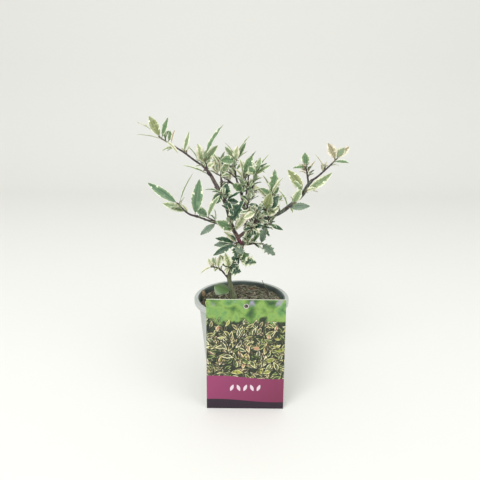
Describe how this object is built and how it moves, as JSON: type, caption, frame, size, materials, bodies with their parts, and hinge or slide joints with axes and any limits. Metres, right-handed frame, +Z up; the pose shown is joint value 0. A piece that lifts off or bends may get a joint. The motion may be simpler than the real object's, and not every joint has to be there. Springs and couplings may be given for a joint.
{
  "type": "young variegated holly in a nursery pot",
  "caption": "Young variegated holly with an open, spreading crown, growing in a round tapered nursery pot, with a plain picture card leaning on the pot's rim.",
  "frame": {"origin": "centre of the pot's flat underside", "axes": "+Z up along the pot's axis; -Y towards the front, where the picture card leans; +X to the right as seen from the front"},
  "size_m": [0.232, 0.1231, 0.3074],
  "materials": {
    "pot_plastic": "satin moulded light grey plastic",
    "soil": "rough dark bark compost",
    "card_print": "semi-gloss printed card",
    "bark": "young dark bark, green-brown on the trunk",
    "foliage": "slightly glossy green leaves with cream margins"
  },
  "bodies": {
    "root": {"pot": "pot_plastic", "soil": "soil", "picture_card": "card_print", "trunk": "bark", "bough_upper_left": "bark", "bough_lower_left": "bark", "bough_centre": "bark", "bough_right": "bark", "bough_front": "bark", "bough_back": "bark", "bough_back_left": "bark", "bough_back_right": "bark", "leaves_upper_left_tip": "foliage", "leaves_upper_left_middle": "foliage", "leaves_upper_left_inner": "foliage", "leaves_lower_left_tip": "foliage", "leaves_lower_left_inner": "foliage", "leaves_fork": "foliage", "leaves_centre_left": "foliage", "leaves_centre_side": "foliage", "leaves_centre_right": "foliage", "leaves_centre_low": "foliage", "leaves_centre_top": "foliage", "leaves_front": "foliage", "leaves_front_left": "foliage", "leaves_right_inner": "foliage", "leaves_right_upper": "foliage", "leaves_right_under": "foliage", "leaves_right_middle": "foliage", "leaves_right_bend": "foliage", "leaves_right_tip": "foliage", "leaves_right_fork": "foliage", "leaves_low_right": "foliage", "leaves_trunk_left": "foliage", "leaves_trunk_right": "foliage", "leaves_trunk_low": "foliage", "leaves_foot_shoot": "foliage", "leaves_back": "foliage", "leaves_back_left": "foliage", "leaves_back_right": "foliage"}
  },
  "joints": []
}
